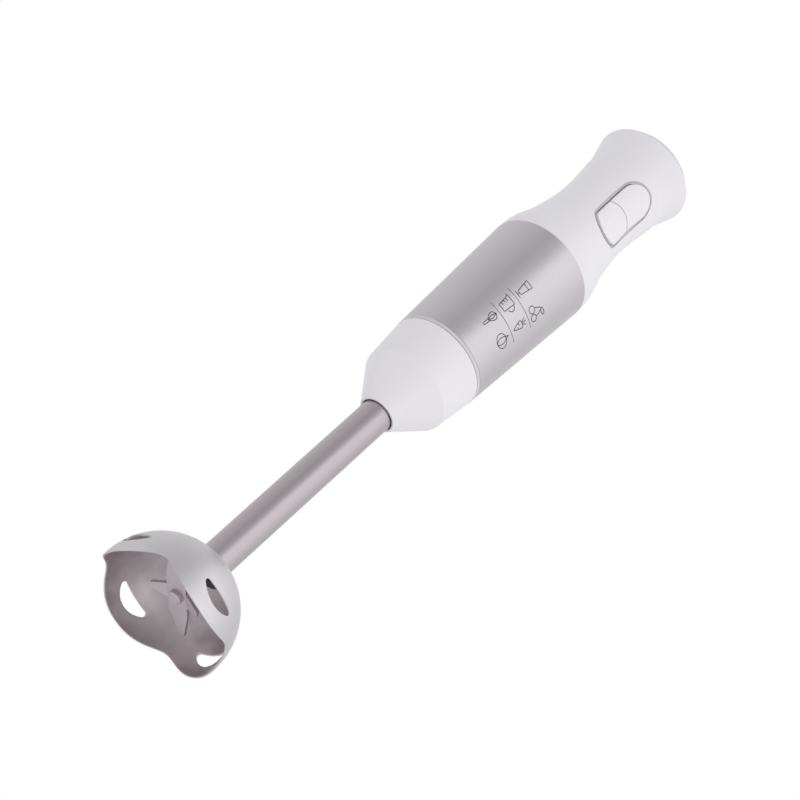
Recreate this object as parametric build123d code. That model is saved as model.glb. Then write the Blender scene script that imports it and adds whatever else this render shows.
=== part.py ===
from build123d import *
from math import cos, radians, sin, sqrt
import os

# Immersion blender, in millimetres: a blending leg, and a motor unit that lifts off it.
# +Z runs up the axis, the origin is on the axis at the level of the guard's lowest points,
# and the buttons face -Y.

# ---- clearances ----
FIT = 0.05          # radial clearance of pieces that are pressed, glued or screwed together
RUNNING = 0.04      # radial clearance of a shaft in its bush
SEAT = 0.1          # gap between faces that rest on each other
FREE = 0.3          # gap around a piece that slides or turns

# ---- blade guard ----
guard_radius = 33.0
guard_wall = 0.8
rim_wave = 5.8              # from the lowest points of the wavy rim to its valleys
lobes = 4
wave_turn = -4.0            # from midway between two slots to the valley of the rim
neck_wall = 0.7             # bead of the braze around the tube
neck_length = 0.9
neck_fillet = 0.6
slot_width = 21.4
slot_top = 13.0
slot_bottom = 6.7
slot_corner = 1.6

# ---- tube, bushes and seal of the leg ----
tube_radius = 8.0
tube_wall = 0.6
tube_length = 135.0
bush_flange_lip = 2.0       # how far the lower bush's flange reaches past the tube
bush_flange = 2.0
lower_bush_length = 16.0
seal_radius = 5.5
seal_length = 3.8
upper_bush_radius = 6.0
upper_bush_length = 9.0

# ---- leg's plastic cone and the spigot of its bayonet ----
tube_overlap = 19.9         # how much of the tube's head is inside the cone
cone_mouth_gap = 0.55       # open ring between tube and cone
cone_mouth_lip = 0.75
cone_height = 20.5
barrel_height = 22.5
barrel_flare = 2.0          # how much the barrel widens from the cone to the joint
barrel_shoulder = 4.9       # from the spigot out to the barrel
cone_wall = 2.2
spigot_radius = 19.4
spigot_wall = 2.0
spigot_height = 12.0
lugs = 3
lug_height = 2.6
lug_reach = 1.6
lug_angle = 24.0
twist_angle = 30.0
carrier_disc = 4.0
carrier_sleeve_wall = 2.2
carrier_drop = 11.0         # from the spigot's foot down to the carrier's disc
carrier_screw_gap = 0.45    # between the carrier's sleeve and the screws' posts
post_radius = 2.7

# ---- drive shaft and blade ----
shaft_radius = 2.5
blade_height = 13.0
blade_thickness = 1.5
blade_reach = 24.4
blade_width = 10.4
blade_tip_width = 3.2
wing_reach = 13.5
wing_width = 8.4
wing_drop = 3.0
blade_angle = 37.0
wing_angle = 127.0
hub_radius = 4.6
hub_length = 7.0
rivet_wall = 0.8
rivet_height = 1.2
washer_radius = 5.0
washer_thickness = 0.8
dog_hub_radius = 4.2
dog_height = 12.0
fin_reach = 7.0
fin_width = 3.0
fin_height = 8.0
cup_wall = 1.7
cup_floor = 3.0

# ---- motor unit's outside ----
ring_height = 1.9           # white ring that shows under the sleeve
sleeve_length = 79.8
ring_overhang = 0.15        # from the cone's barrel out to the white ring
sleeve_flare = 3.35         # how much the sleeve widens from foot to head
sleeve_wall = 0.5
sleeve_proud = 0.2          # step from the sleeve down to the grip
grip_length = 91.4
grip_heel = (0.0, 5.0)      # inwards from the grip's foot, and above the sleeve
grip_shoulder = (0.75, 10.0)
grip_flank = (2.7, 17.2)
grip_hollow = (5.35, 31.0)
grip_waist = 21.0
grip_waist_height = 54.0
grip_flare = (1.6, 73.0)    # outwards from the waist, and above the sleeve
grip_head_radius = 26.5
shell_wall = 2.2
cap_height = 11.0
cap_step = 1.4              # from the shell's rim in to the cap
cap_wall = 2.4
cap_skirt = 6.0
vent_count = 12
vent_width = 1.8
vent_inner = 11.0
vent_outer = 18.0
cord_bore_radius = 3.3
grommet_wall = 1.6
grommet_flange = 1.8
grommet_length = 11.0

# ---- socket of the bayonet ----
socket_floor = 3.0
socket_spigot = 9.0
socket_spigot_wall = 1.8
seal_ring_width = 1.1
seal_ring_height = 1.5
hooks = 3
hook_width = 8.0
hook_height = 3.0
hook_reach = 1.2
seal_groove_wall = 0.9

# ---- motor ----
can_radius = 17.2
can_wall = 1.4
can_mouth = 1.0             # how far the commutator stands out of the can
motor_shaft_radius = 2.5
bearing_radius = 6.5
bearing_width = 5.0
bearing_seat_wall = 1.5
magnet_thickness = 2.6
magnet_angle = 140.0
magnet_length = 32.0
air_gap = 0.5
rotor_slots = 10
rotor_slot_width = 1.6
rotor_slot_depth = 3.0
winding_radius = 10.8
winding_height = 4.0
commutator_radius = 5.0
commutator_length = 7.0
plate_thickness = 2.6
brush_width = 4.0
brush_height = 4.0
brush_holder_wall = 1.2
brush_reach = 12.5
motor_screw_circle = 12.6
screw_radius = 1.45
screw_head_radius = 2.6
screw_head_height = 1.8
damper_height = 5.0
fan_radius = 14.0
fan_height = 6.0
fan_blades = 9
fan_blade_thickness = 1.2

# ---- buttons, switches and circuit board ----
panel_width = 18.2
panel_bottom = 28.6         # above the sleeve
panel_height = 39.6
panel_corner = 3.6
panel_bulge = 4.2           # how much lower the panel's foot is at its middle than at its sides
panel_recess = 1.3          # width of the lowered band around the buttons
panel_recess_depth = 0.9
panel_split = 16.6          # above the panel's bottom, at its sides
panel_split_rise = 3.4
button_gap = 0.45
button_proud = 0.45
button_travel = 1.5
flange_lip = 1.2
flange_thickness = 1.0
collar_face = 15.7          # distance of the collar's flat inner face from the axis
collar_width = 3.2
stem_radius = 2.2
stem_length = 1.4
switch_size = (6.4, 6.4, 12.0)
plunger_radius = 1.2
plunger_height = 0.8
board_width = 24.0
board_length = 62.0
board_post_inset = 3.0
board_thickness = 1.6
board_post_radius = 2.4
rectifier_size = (15.0, 4.0, 12.0)
capacitor_size = (17.0, 7.5, 13.0)
choke_radius = 4.5
choke_length = 14.0

# ---- levels worked out from the sizes ----
dome_centre = rim_wave / 2
dome_inner_radius = guard_radius - guard_wall
bush_flange_radius = tube_radius + bush_flange_lip
neck_radius = tube_radius + FIT + neck_wall
neck_foot = dome_centre + sqrt(guard_radius**2 - neck_radius**2)
bush_flange_top = dome_centre + sqrt(dome_inner_radius**2 - bush_flange_radius**2) - 0.7
tube_bottom = bush_flange_top + SEAT
tube_top = tube_bottom + tube_length
tube_inner_radius = tube_radius - tube_wall
barrel_radius = spigot_radius + barrel_shoulder
cone_radius = barrel_radius - barrel_flare
cone_mouth_radius = tube_radius + cone_mouth_gap + cone_mouth_lip
cone_bottom = tube_top - tube_overlap
cone_top = cone_bottom + cone_height
leg_top = cone_top + barrel_height
spigot_top = leg_top + spigot_height
carrier_top = leg_top - carrier_drop
carrier_bottom = carrier_top - carrier_disc
carrier_screw_circle = tube_radius + FIT + carrier_sleeve_wall + post_radius + carrier_screw_gap
upper_bush_top = carrier_top + 2.0
upper_bush_bottom = upper_bush_top - upper_bush_length
hub_top = blade_height + blade_thickness + hub_length
shaft_bottom = blade_height - rivet_height
rivet_radius = shaft_radius + rivet_wall
dog_bottom = upper_bush_top + SEAT + 2 * washer_thickness + FREE
dog_top = dog_bottom + dog_height + 3.0
fin_bottom = dog_top - fin_height

ring_bottom = leg_top + FREE
sleeve_foot_radius = barrel_radius + ring_overhang
sleeve_head_radius = sleeve_foot_radius + sleeve_flare
sleeve_bottom = ring_bottom + ring_height
sleeve_top = sleeve_bottom + sleeve_length
rim_height = sleeve_top + grip_length
cap_top = rim_height + cap_height
lug_top = spigot_top
lug_bottom = lug_top - lug_height
lug_radius = spigot_radius + lug_reach
socket_radius = spigot_radius + FREE
channel_radius = lug_radius + FREE
floor_bottom = spigot_top + 2.0
floor_top = floor_bottom + socket_floor
shell_bottom = floor_top
hook_bottom = floor_top + 3.0
cup_radius = fin_reach + FREE + cup_wall
cup_bottom = dog_top - fin_height + 1.0
can_bottom = floor_top + SEAT
seat_bottom = can_bottom - 2.6
front_bearing_bottom = seat_bottom + 0.4
cup_top = seat_bottom - 1.0
rotor_radius = can_radius - can_wall - FIT - magnet_thickness - air_gap
magnet_bottom = can_bottom + 6.5
rotor_bottom = magnet_bottom + 2.0
rotor_top = magnet_bottom + magnet_length - 2.0
commutator_bottom = rotor_top + winding_height + 0.6
commutator_top = commutator_bottom + commutator_length
can_top = commutator_top - can_mouth
plate_bottom = can_top + SEAT
plate_top = plate_bottom + plate_thickness
rear_bearing_bottom = commutator_top + FREE * 2
rear_bearing_top = rear_bearing_bottom + bearing_width
fan_bottom = rear_bearing_top + 2.5
motor_shaft_top = fan_bottom + fan_height + 1.0
brush_middle = (commutator_bottom + commutator_top) / 2
seal_ring_outer = sleeve_foot_radius - seal_groove_wall - FIT
seal_ring_inner = seal_ring_outer - seal_ring_width
damper_bottom = can_top - damper_height - 4.0

panel_foot = sleeve_top + panel_bottom
panel_head = panel_foot + panel_height
flange_face = collar_face - SEAT * 2
flange_back = flange_face - flange_thickness
stem_end = flange_back - stem_length
plunger_tip = stem_end - button_travel - 0.2
switch_face = plunger_tip - plunger_height
board_face = switch_face - switch_size[1]
board_back = board_face - board_thickness
board_bottom = panel_foot - (board_length - panel_height) / 2
board_top = board_bottom + board_length


# ---- shapes that several pieces share ----
def disc(radius, bottom, top):
    """Round bar on the axis."""
    return Pos(0, 0, bottom) * Cylinder(radius, top - bottom, align=(Align.CENTER, Align.CENTER, Align.MIN))


def tube(outer, inner, bottom, top):
    """Round tube on the axis."""
    return disc(outer, bottom, top) - disc(inner, bottom, top)


def turned(*corners):
    """Solid turned about the axis from corners given as radius and height."""
    outline = Polyline(*corners, close=True)
    return revolve(Plane.XZ * make_face(outline), Axis.Z)


def sector(outer, inner, bottom, top, middle, angle):
    """Part of a ring, of the given angle about the given azimuth."""
    half = radians(min(angle, 178) / 2)
    far = outer * 1.2 / cos(half)
    x, y = far * cos(half), far * sin(half)
    fan = Polyline((0, 0), (x, -y), (x, y), close=True)
    wedge = Pos(0, 0, bottom) * extrude(make_face(fan), top - bottom)
    return tube(outer, inner, bottom, top) & (Rot(0, 0, middle) * wedge)


def block(x0, x1, y0, y1, z0, z1):
    """Box between two corners."""
    return Pos(x0, y0, z0) * Box(x1 - x0, y1 - y0, z1 - z0, align=(Align.MIN, Align.MIN, Align.MIN))


def on_circle(shape, count, radius=0.0, first=0.0):
    """Copies of a shape, moved out to a circle about the axis."""
    step = 360 / count
    return [Rot(0, 0, first + step * i) * Pos(radius, 0, 0) * shape for i in range(count)]


def bar_y(radius, x, z, near, far):
    """Round bar along Y, from a distance to a further one in front of the axis."""
    plane = Plane(origin=(x, -near, z), x_dir=(1, 0, 0), z_dir=(0, -1, 0))
    return extrude(plane * Circle(radius), far - near)


def screw(head_top, length):
    """Pan-head screw that points down, with its head's underside at the given level."""
    head = disc(screw_head_radius, head_top, head_top + screw_head_height)
    slot = block(-screw_head_radius, screw_head_radius, -0.3, 0.3,
                 head_top + screw_head_height * 0.5, head_top + screw_head_height + 1)
    return head - slot + disc(screw_radius, head_top - length, head_top)


def front_prism(outline, near, far):
    """Outline in the XZ plane, drawn out along -Y between two distances from the axis."""
    plane = Plane(origin=(0, -near, 0), x_dir=(1, 0, 0), z_dir=(0, -1, 0))
    return extrude(plane * outline, far - near)


# ---- blade guard ----
def wave_cutter(azimuth):
    """What is cut away under one valley of the rim."""
    half = dome_inner_radius * sin(radians(180 / lobes))
    plane = Plane(origin=(0, 0, 0), x_dir=(-sin(radians(azimuth)), cos(radians(azimuth)), 0),
                  z_dir=(cos(radians(azimuth)), sin(radians(azimuth)), 0))
    curve = Spline((-half, 0), (0, rim_wave), (half, 0), tangents=((1, 0), (1, 0)))
    below = Polyline((half, 0), (half, -5), (-half, -5), (-half, 0))
    return extrude(plane * make_face(curve + below), guard_radius * 2)


def slot_cutter(azimuth):
    """One flow slot: straight on top and curved below."""
    half = slot_width / 2
    arc = ThreePointArc((-half, slot_top), (0, slot_bottom), (half, slot_top))
    face = make_face(arc + Line((half, slot_top), (-half, slot_top)))
    face = fillet(face.vertices(), slot_corner)
    plane = Plane(origin=(0, 0, 0), x_dir=(-sin(radians(azimuth)), cos(radians(azimuth)), 0),
                  z_dir=(cos(radians(azimuth)), sin(radians(azimuth)), 0))
    return extrude(plane * face, guard_radius * 2)


def blade_guard():
    """Drawn steel dome with a wavy rim, flow slots and a brazed bead around the tube."""
    dome = Pos(0, 0, dome_centre) * Sphere(guard_radius)
    dome += disc(neck_radius, dome_centre, neck_foot + neck_length)
    near = neck_length / 2
    rings = dome.edges().filter_by(GeomType.CIRCLE)
    dome = fillet(rings.filter_by_position(Axis.Z, neck_foot - near, neck_foot + near), neck_fillet)
    dome -= Pos(0, 0, dome_centre) * Sphere(dome_inner_radius)
    dome -= disc(tube_radius + FIT, 0, dome_centre + guard_radius + neck_length)
    dome -= disc(guard_radius * 2, -guard_radius, 0)
    step = 360 / lobes
    for i in range(lobes):
        dome -= wave_cutter(step * (i + 0.5) + wave_turn)
        dome -= slot_cutter(step * i)
    return dome


# ---- leg ----
def shaft_tube():
    """Steel tube of the leg."""
    return tube(tube_radius, tube_inner_radius, tube_bottom, tube_top)


def lower_bush():
    """Flanged bush at the tube's foot, with a pocket for the seal."""
    flange_bottom = bush_flange_top - bush_flange
    body = disc(bush_flange_radius, flange_bottom, bush_flange_top)
    body += disc(tube_inner_radius - FIT, bush_flange_top, bush_flange_top + lower_bush_length)
    body -= disc(shaft_radius + RUNNING, flange_bottom, bush_flange_top + lower_bush_length)
    return body - disc(seal_radius + FIT, flange_bottom, flange_bottom + seal_length + SEAT)


def shaft_seal():
    """Rubber seal between the food and the bush."""
    bottom = bush_flange_top - bush_flange + SEAT
    top = bush_flange_top - bush_flange + seal_length
    middle = (bottom + top) / 2
    return turned((seal_radius, bottom), (seal_radius, top), (shaft_radius + 1.2, top),
                  (shaft_radius + RUNNING, middle), (shaft_radius + 1.2, bottom))


def cone_outer():
    """Outer shape of the leg's plastic cone."""
    body = turned((0, cone_bottom), (cone_mouth_radius, cone_bottom), (cone_radius, cone_top),
                  (barrel_radius, leg_top), (0, leg_top))
    corner = body.edges().filter_by(GeomType.CIRCLE).filter_by_position(Axis.Z, cone_top - 1, cone_top + 1)
    return fillet(corner, 3.0)


def cone_cavity():
    """Hollow of the cone, one wall inside its outer shape."""
    slope = (cone_radius - cone_mouth_radius) / cone_height
    side = cone_wall * sqrt(1 + slope**2)
    mouth = tube_radius + cone_mouth_gap
    start = cone_bottom + (mouth - cone_mouth_radius + side) / slope
    corner_radius = cone_radius - cone_wall
    corner = cone_bottom + (corner_radius - cone_mouth_radius + side) / slope
    shoulder = spigot_radius - spigot_wall
    roof = leg_top - cone_wall
    below_roof = roof - (barrel_radius - cone_wall - shoulder)
    return turned((0, cone_bottom - 1), (mouth, cone_bottom - 1), (mouth, start), (corner_radius, corner),
                  (barrel_radius - cone_wall, below_roof), (shoulder, roof), (shoulder, spigot_top + 1),
                  (0, spigot_top + 1))


def lug_sectors(outer, inner, bottom, top, angle, turn=0.0):
    """One sector for each lug of the bayonet."""
    return [sector(outer, inner, bottom, top, turn + 360 / lugs * i, angle) for i in range(lugs)]


def coupling_cone():
    """Plastic cone that joins the leg's tube to the motor unit, with the bayonet's spigot."""
    body = cone_outer() + disc(spigot_radius, leg_top - 1, spigot_top) - cone_cavity()
    posts = on_circle(disc(post_radius, cone_bottom, carrier_bottom - SEAT), 3, carrier_screw_circle, 60)
    for post in posts:
        body += post & (cone_outer() - disc(carrier_screw_circle - post_radius, cone_bottom, cone_top))
    for pilot in on_circle(disc(screw_radius + FIT, carrier_bottom - 11, carrier_bottom), 3,
                           carrier_screw_circle, 60):
        body -= pilot
    for lug in lug_sectors(lug_radius, spigot_radius - 1, lug_bottom, lug_top, lug_angle):
        body += lug
    return body


def bearing_carrier():
    """Insert in the cone that holds the tube's head and the upper bush."""
    sleeve_radius = tube_radius + FIT + carrier_sleeve_wall
    sleeve_foot = tube_top - 11.0
    body = disc(sleeve_radius, sleeve_foot, carrier_top)
    body += disc(spigot_radius - spigot_wall - FIT, carrier_bottom, carrier_top)
    body += disc(upper_bush_radius + 2.4, carrier_bottom, upper_bush_top)
    body -= disc(tube_radius + FIT, sleeve_foot, tube_top + SEAT)
    body -= disc(shaft_radius + 2, tube_top, upper_bush_top)
    body -= disc(upper_bush_radius + FIT, upper_bush_bottom - SEAT, upper_bush_top)
    hole = disc(screw_radius + FIT, carrier_bottom, carrier_top)
    for place in on_circle(hole, 3, carrier_screw_circle, 60):
        body -= place
    return body


def upper_bush():
    """Sintered bush at the head of the leg."""
    return tube(upper_bush_radius, shaft_radius + RUNNING, upper_bush_bottom, upper_bush_top)


def carrier_screws():
    """Screws that hold the carrier down on the cone's posts."""
    return on_circle(screw(carrier_top, carrier_disc + 10), 3, carrier_screw_circle, 60)


# ---- drive line of the leg ----
def drive_shaft():
    """Steel shaft from the blade up to the driven dog."""
    groove = upper_bush_top + SEAT + washer_thickness
    body = disc(shaft_radius, shaft_bottom, dog_top - 1)
    return body - tube(shaft_radius + 1, shaft_radius - 0.4, groove, groove + washer_thickness)


def blade_arm(reach, width, tip, sweep):
    """Plan of one arm, with its tip swept to one side."""
    half = width / 2
    outline = Polyline((0, -half), (reach * 0.4, -half), (reach, sweep - tip / 2),
                       (reach - tip * 0.3, sweep + tip / 2), (reach * 0.45, half), (0, half), close=True)
    return make_face(outline)


def cutting_blade():
    """Pressed blade with two long arms and two short wings that bend down."""
    top = blade_height + blade_thickness
    long_plan = blade_arm(blade_reach, blade_width, blade_tip_width, -0.8)
    short_plan = blade_arm(wing_reach, wing_width, blade_tip_width, 0.6)
    body = disc(blade_width / 2 + 0.6, blade_height, top)
    for turn in (0, 180):
        body += Rot(0, 0, blade_angle + turn) * Pos(0, 0, blade_height) * extrude(long_plan, blade_thickness)
    bend = blade_width / 2 + 0.4
    end = wing_reach + 1
    side = Polyline((0, top), (bend, top), (end, top - wing_drop), (end, blade_height - wing_drop),
                    (bend - 0.4, blade_height), (0, blade_height), close=True)
    profile = extrude(Plane.XZ * make_face(side), wing_width, both=True)
    wing = profile & extrude(short_plan, top + 5)
    for turn in (0, 180):
        body += Rot(0, 0, wing_angle + turn) * wing
    return body - disc(shaft_radius + FIT, blade_height - 1, top + 1)


def blade_hub():
    """Spacer that the blade is clamped against."""
    bottom = blade_height + blade_thickness
    return turned((shaft_radius + FIT, bottom), (hub_radius, bottom), (hub_radius, hub_top - 1.5),
                  (hub_radius - 1, hub_top), (shaft_radius + FIT, hub_top))


def blade_rivet():
    """Riveted cap under the blade."""
    bottom = shaft_bottom - rivet_height
    body = turned((0, bottom), (rivet_radius - 1, bottom), (rivet_radius, bottom + 0.8),
                  (rivet_radius, blade_height), (0, blade_height))
    return body - disc(shaft_radius + FIT, shaft_bottom - SEAT / 2, blade_height + 1)


def thrust_washer():
    """Washer on the upper bush."""
    bottom = upper_bush_top + SEAT
    return tube(washer_radius, shaft_radius + RUNNING, bottom, bottom + washer_thickness - 0.05)


def retaining_clip():
    """Clip in the shaft's groove that keeps the shaft from dropping."""
    bottom = upper_bush_top + SEAT + washer_thickness
    top = bottom + washer_thickness - 0.05
    ring = tube(washer_radius - 0.8, shaft_radius - 0.4 + FIT, bottom + 0.05, top)
    return ring - block(0, washer_radius, -shaft_radius * 0.7, shaft_radius * 0.7, bottom, bottom + 1)


def driven_dog():
    """Finned hub on the shaft's head that the motor's cup turns."""
    body = disc(dog_hub_radius, dog_bottom, dog_top)
    body += block(-fin_reach, fin_reach, -fin_width / 2, fin_width / 2, fin_bottom, dog_top)
    return body - disc(shaft_radius + FIT, dog_bottom, dog_top - 1 + SEAT)


# ---- bayonet socket and its seal ----
def sleeve_radius_at(height):
    """Outer radius of the steel sleeve at a height."""
    share = (height - sleeve_bottom) / sleeve_length
    return sleeve_foot_radius + (sleeve_head_radius - sleeve_foot_radius) * share


def under_sleeve(height):
    """Outer radius of what the sleeve covers."""
    return sleeve_radius_at(height) - sleeve_wall - FIT * 2


def shell_inner(height):
    """Inner radius of the shell under the sleeve."""
    return under_sleeve(height) - shell_wall


def bayonet_socket():
    """Lower end of the motor unit: white ring, lug channels, floor and snap hooks."""
    spigot_end = shell_bottom + socket_spigot
    plug_radius = shell_inner(shell_bottom) - FIT
    plug_bore = plug_radius - socket_spigot_wall
    body = turned((0, ring_bottom), (sleeve_foot_radius, ring_bottom), (sleeve_foot_radius, sleeve_bottom),
                  (under_sleeve(sleeve_bottom), sleeve_bottom),
                  (under_sleeve(shell_bottom), shell_bottom - SEAT), (plug_radius, shell_bottom - SEAT),
                  (plug_radius, spigot_end), (plug_bore, spigot_end), (plug_bore, floor_top), (0, floor_top))
    body -= disc(socket_radius, ring_bottom - 1, floor_bottom)
    way_in = lug_angle + 6
    inner = socket_radius - 1
    for entry in lug_sectors(channel_radius, inner, ring_bottom - 1, lug_top + FREE, way_in):
        body -= entry
    for channel in lug_sectors(channel_radius, inner, lug_bottom - FREE, lug_top + FREE,
                               way_in + twist_angle, -twist_angle / 2):
        body -= channel
    body -= tube(seal_ring_outer + FIT, seal_ring_inner - FIT, ring_bottom - 1,
                 leg_top + seal_ring_height + SEAT)
    body -= disc(bearing_radius + bearing_seat_wall + 2 * FIT, floor_bottom, floor_top)
    for hole in on_circle(disc(screw_radius + FIT, floor_bottom, floor_top), 2, motor_screw_circle, 90):
        body -= hole
    hook = block(plug_radius - 1, plug_radius + hook_reach, -hook_width / 2, hook_width / 2,
                 hook_bottom, hook_bottom + hook_height)
    for place in on_circle(hook, hooks, 0, 60):
        body += place
    return body


def seal_ring():
    """Rubber ring in the socket's lower face that lies on the leg's shoulder."""
    return tube(seal_ring_outer, seal_ring_inner, leg_top, leg_top + seal_ring_height)


# ---- motor unit's shell ----
def grip_curve(offset):
    """Side of the grip above the sleeve, moved inwards by an offset."""
    foot = sleeve_head_radius - sleeve_proud - offset
    waist = grip_waist - offset
    points = [(foot, sleeve_top)]
    for inwards, up in (grip_heel, grip_shoulder, grip_flank, grip_hollow):
        points.append((foot - inwards, sleeve_top + up))
    points.append((waist, sleeve_top + grip_waist_height))
    points.append((waist + grip_flare[0], sleeve_top + grip_flare[1]))
    points.append((grip_head_radius - offset, rim_height))
    return Spline(*points, tangents=((0.03, 1), (0.27, 1)))


def grip_solid(offset, bottom_radius, bottom):
    """Body of the grip down to a lower end, moved inwards by an offset."""
    curve = grip_curve(offset)
    foot = curve @ 0
    head = curve @ 1
    side = Polyline((head.X, head.Y), (0, head.Y), (0, bottom), (bottom_radius, bottom),
                    (under_sleeve(sleeve_top) - offset, sleeve_top), (foot.X, foot.Y))
    return revolve(Plane.XZ * make_face(curve + side), Axis.Z)


def panel_face(offset):
    """Outline of the button panel, moved outwards: a shallow arc at its foot and round at its head."""
    half = panel_width / 2
    bulge_radius = (half**2 + panel_bulge**2) / (2 * panel_bulge)
    side = half + offset
    foot = panel_foot - offset
    head = panel_head + offset
    low = panel_foot + bulge_radius - sqrt((bulge_radius + offset)**2 - side**2)
    outline = Line((-side, low), (-side, head - side))
    outline += ThreePointArc((-side, head - side), (0, head), (side, head - side))
    outline += Line((side, head - side), (side, low))
    outline += ThreePointArc((side, low), (0, foot), (-side, low))
    face = make_face(outline)
    return fillet(face.vertices().sort_by(Axis.Y)[:2], panel_corner + offset)


def split_face(side, gap):
    """Everything on one side of the curved line between the buttons, less half the gap."""
    far = panel_width
    level = panel_foot + panel_split + side * gap / 2
    arc = ThreePointArc((-panel_width / 2, level), (0, level + panel_split_rise), (panel_width / 2, level))
    end = panel_head + far if side > 0 else panel_foot - far
    rest = Polyline((panel_width / 2, level), (far, level), (far, end), (-far, end), (-far, level),
                    (-panel_width / 2, level))
    return make_face(arc + rest)


def board_posts():
    """Places of the circuit board's screws, as x and height."""
    x = board_width / 2 - board_post_inset
    levels = (board_bottom + board_post_inset, board_top - board_post_inset)
    return [(side * x, z) for side in (-1, 1) for z in levels]


def handle_shell():
    """White grip shell with the tapered barrel that the sleeve covers."""
    outer = grip_solid(0, under_sleeve(shell_bottom), shell_bottom)
    inner = grip_solid(shell_wall, shell_inner(shell_bottom), shell_bottom - 0.001)
    body = outer - inner
    solid_front = outer & front_prism(panel_face(collar_width), collar_face, collar_face + 20)
    body += solid_front
    for x, z in board_posts():
        body += outer & bar_y(board_post_radius, x, z, board_face, board_face + 30)
    body -= front_prism(panel_face(0), collar_face - 1, collar_face + 20)
    body -= front_prism(panel_face(flange_lip + FREE), flange_back - button_travel - FREE, collar_face)
    band = front_prism(panel_face(panel_recess), collar_face, collar_face + 20)
    body -= band - grip_solid(panel_recess_depth, under_sleeve(shell_bottom), shell_bottom)
    for x, z in board_posts():
        body -= bar_y(screw_radius + FIT, x, z, board_face - 1, board_face + 9)
    plug_radius = shell_inner(shell_bottom)
    side = hook_width / 2 + SEAT
    window = block(plug_radius - 3, plug_radius + hook_reach + FREE, -side, side,
                   hook_bottom - SEAT, hook_bottom + hook_height + SEAT)
    for place in on_circle(window, hooks, 0, 60):
        body -= place
    return body


def steel_sleeve():
    """Tapered steel sleeve around the barrel."""
    foot, head = sleeve_radius_at(sleeve_bottom), sleeve_radius_at(sleeve_top)
    low, high = sleeve_bottom + SEAT / 2, sleeve_top - SEAT / 2
    return turned((foot, low), (head, high), (head - sleeve_wall, high), (foot - sleeve_wall, low))


def dome_profile(offset):
    """Outer shape of the cap, moved inwards by an offset."""
    base = grip_head_radius - cap_step - offset
    bottom = rim_height
    height = cap_height - offset
    arc = EllipticalCenterArc((0, bottom), base, height, start_angle=0, arc_size=90)
    face = make_face(arc + Polyline((0, bottom + height), (0, bottom), (base, bottom)))
    return revolve(Plane.XZ * face, Axis.Z)


def top_cap():
    """Domed cap with vents and the hole for the cord's grommet."""
    skirt_outer = grip_head_radius - shell_wall - 2.2
    body = dome_profile(0) - dome_profile(cap_wall)
    body += tube(skirt_outer, skirt_outer - cap_wall, rim_height - cap_skirt, rim_height + 1.5)
    body += tube(grip_head_radius - cap_step, skirt_outer - cap_wall, rim_height + SEAT, rim_height + 1.5)
    body = body & (disc(skirt_outer, rim_height - cap_skirt, rim_height + SEAT) + dome_profile(0))
    hole = cord_bore_radius + grommet_wall + FIT
    body += disc(hole + cap_wall, cap_top - grommet_length + 2, cap_top) & dome_profile(0)
    body -= disc(hole, rim_height - cap_skirt, cap_top + 1)
    vent = block(vent_inner, vent_outer, -vent_width / 2, vent_width / 2, rim_height, cap_top + 1)
    for place in on_circle(vent, vent_count):
        body -= place
    return body


def cord_grommet():
    """Rubber grommet that lines the cord's hole in the cap."""
    outer = cord_bore_radius + grommet_wall
    bottom = cap_top - grommet_length
    body = disc(outer, bottom, cap_top)
    body += disc(outer + 2.0, bottom, bottom + grommet_flange)
    return body - disc(cord_bore_radius, bottom, cap_top)


# ---- motor ----
def motor_can():
    """Drawn steel can of the motor with its front bearing's seat."""
    seat = bearing_radius + FIT
    body = disc(can_radius, can_bottom, can_top)
    body -= disc(can_radius - can_wall, can_bottom + can_wall, can_top)
    body += disc(seat + bearing_seat_wall, seat_bottom, can_bottom + can_wall)
    body -= disc(seat, front_bearing_bottom, can_bottom + can_wall)
    body -= disc(motor_shaft_radius + 1, seat_bottom, can_bottom)
    hole = disc(screw_radius + FIT, can_bottom, can_bottom + can_wall)
    for place in on_circle(hole, 2, motor_screw_circle, 90):
        body -= place
    return body


def motor_bearing(bottom):
    """Bearing of the motor shaft."""
    return tube(bearing_radius, motor_shaft_radius + RUNNING, bottom, bottom + bearing_width)


def motor_magnets():
    """Pair of curved magnets inside the can."""
    outer = can_radius - can_wall - FIT
    return [sector(outer, outer - magnet_thickness, magnet_bottom, magnet_bottom + magnet_length, turn,
                   magnet_angle) for turn in (0, 180)]


def brush_plate():
    """Rear plate of the motor with the rear bearing's seat and the brush boxes."""
    seat = bearing_radius + FIT
    body = disc(can_radius, plate_bottom, plate_top)
    body += disc(seat + bearing_seat_wall, plate_bottom, rear_bearing_top)
    body -= disc(seat, rear_bearing_bottom, rear_bearing_top)
    body -= disc(commutator_radius + 0.6, plate_bottom, rear_bearing_bottom)
    half = brush_width / 2 + brush_holder_wall
    low = brush_middle - brush_height / 2 - brush_holder_wall
    holder = block(commutator_radius + 1.2, brush_reach + 1, -half, half, low, plate_bottom + 0.5)
    pocket = block(commutator_radius, brush_reach + FIT, -brush_width / 2 - FIT, brush_width / 2 + FIT,
                   brush_middle - brush_height / 2 - FIT, brush_middle + brush_height / 2 + FIT)
    for turn in (0, 180):
        body += Rot(0, 0, turn) * holder
    for turn in (0, 180):
        body -= Rot(0, 0, turn) * pocket
    return body


def brushes():
    """Pair of carbon brushes on the commutator."""
    brush = block(commutator_radius - 1, brush_reach, -brush_width / 2, brush_width / 2,
                  brush_middle - brush_height / 2, brush_middle + brush_height / 2)
    brush -= disc(commutator_radius + RUNNING * 2, commutator_bottom, commutator_top)
    return [Rot(0, 0, turn) * brush for turn in (0, 180)]


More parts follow.
